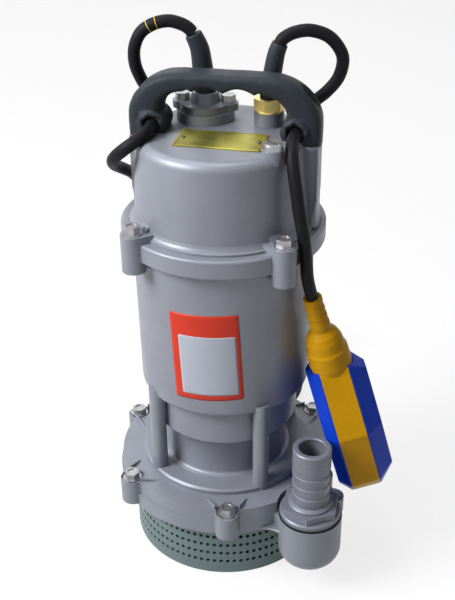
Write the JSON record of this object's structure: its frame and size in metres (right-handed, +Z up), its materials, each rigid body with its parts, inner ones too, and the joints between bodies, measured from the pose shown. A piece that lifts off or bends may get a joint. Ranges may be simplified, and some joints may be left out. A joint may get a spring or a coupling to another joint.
{
  "type": "submersible sump pump",
  "caption": "Submersible sump pump with a cast motor housing, perforated strainer, threaded hose barb, carrying handle, rubber mains cable and hanging float switch.",
  "frame": {"origin": "on the shaft's axis, at the underside of the base plate that the pump stands on", "axes": "+Z up along the shaft, -Y towards the labelled front, +X towards the float's side; the discharge stands at the front right"},
  "size_m": [0.2106, 0.3418, 0.4069],
  "materials": {
    "strainer_grey": "satin grey-green paint over pressed steel",
    "zinc_steel": "dull zinc",
    "handle_screw": "blackened",
    "silver_paint": "cast, with a satin silver-grey paint",
    "nipple": "turned, satin",
    "seal_rubber": "matte",
    "seal_ceramic": "ground ceramic",
    "impeller_bronze": "cast",
    "shaft_steel": "ground",
    "bearing_steel": "polished",
    "copper_wire": "varnished copper",
    "capacitor_can": "satin",
    "moulded_inner": "moulded",
    "handle_dark": "moulded, slightly shiny",
    "cable_rubber": "satin",
    "tie_plastic": "moulded",
    "gland_brass": "turned",
    "float_yellow": "moulded, glossy",
    "float_blue": "moulded, glossy"
  },
  "bodies": {
    "pump": {"base_plate": "strainer_grey", "strainer": "strainer_grey", "strainer_screws": "zinc_steel", "pump_casing": "silver_paint", "hose_barb": "nipple", "barb_seal": "seal_rubber", "casing_seal": "seal_rubber", "motor_frame": "silver_paint", "oil_cover": "silver_paint", "oil_cover_screws": "zinc_steel", "seal_seat": "seal_ceramic", "casing_bolts": "zinc_steel", "stator_core": "shaft_steel", "windings": "copper_wire", "lower_outer_ring": "bearing_steel", "upper_outer_ring": "bearing_steel", "upper_bracket": "silver_paint", "bracket_screws": "zinc_steel", "preload_washer": "zinc_steel", "top_cover": "silver_paint", "cover_seal": "seal_rubber", "cover_bolts": "zinc_steel", "capacitor": "capacitor_can", "capacitor_clamp": "zinc_steel", "thermal_cutout": "moulded_inner", "terminal_block": "moulded_inner", "handle": "handle_dark", "handle_screws": "handle_screw", "power_gland": "silver_paint", "power_bush": "seal_rubber", "power_gland_bolts": "zinc_steel", "power_sleeve": "cable_rubber", "float_gland": "gland_brass", "float_sleeve": "cable_rubber", "vent_screw": "zinc_steel", "power_cable": "cable_rubber", "power_coil": "cable_rubber", "power_tail": "cable_rubber", "coil_tie": "tie_plastic", "power_plug": "cable_rubber", "float_loop": "cable_rubber"},
    "rotor": {"shaft": "shaft_steel", "rotor_core": "shaft_steel", "impeller": "impeller_bronze", "impeller_nut": "shaft_steel", "impeller_key": "shaft_steel", "lower_inner_ring": "bearing_steel", "upper_inner_ring": "bearing_steel", "seal_head": "seal_rubber", "seal_spring": "zinc_steel"},
    "lower_cage": {"lower_balls": "bearing_steel"},
    "upper_cage": {"upper_balls": "bearing_steel"},
    "float": {"float_cable": "cable_rubber", "float_band": "float_yellow", "float_side_inner": "float_blue", "float_side_outer": "float_blue", "float_switch": "moulded_inner"},
    "ball": {"float_ball": "bearing_steel"}
  },
  "joints": [
    {"name": "rotor_spin", "type": "hinge", "parent": "pump", "child": "rotor", "pos_m": [0, 0, 0.2], "axis": [0, 0, 1], "continuous": true},
    {"name": "lower_cage_spin", "type": "hinge", "parent": "pump", "child": "lower_cage", "pos_m": [0, 0, 0.1335], "axis": [0, 0, 1], "continuous": true},
    {"name": "upper_cage_spin", "type": "hinge", "parent": "pump", "child": "upper_cage", "pos_m": [0, 0, 0.268], "axis": [0, 0, 1], "continuous": true},
    {"name": "float_swing", "type": "hinge", "parent": "pump", "child": "float", "pos_m": [0.047, -0.0275, 0.3403], "axis": [-0.6429, -0.7659, 0], "range_deg": [0, 110]},
    {"name": "ball_roll", "type": "slide", "parent": "float", "child": "ball", "axis": [-0.2626, -0.0993, 0.9598], "range_m": [0, 0.03]}
  ],
  "couplings": [
    {"joint": "lower_cage_spin", "follows": "rotor_spin", "ratio": 0.3806},
    {"joint": "upper_cage_spin", "follows": "rotor_spin", "ratio": 0.36875}
  ]
}
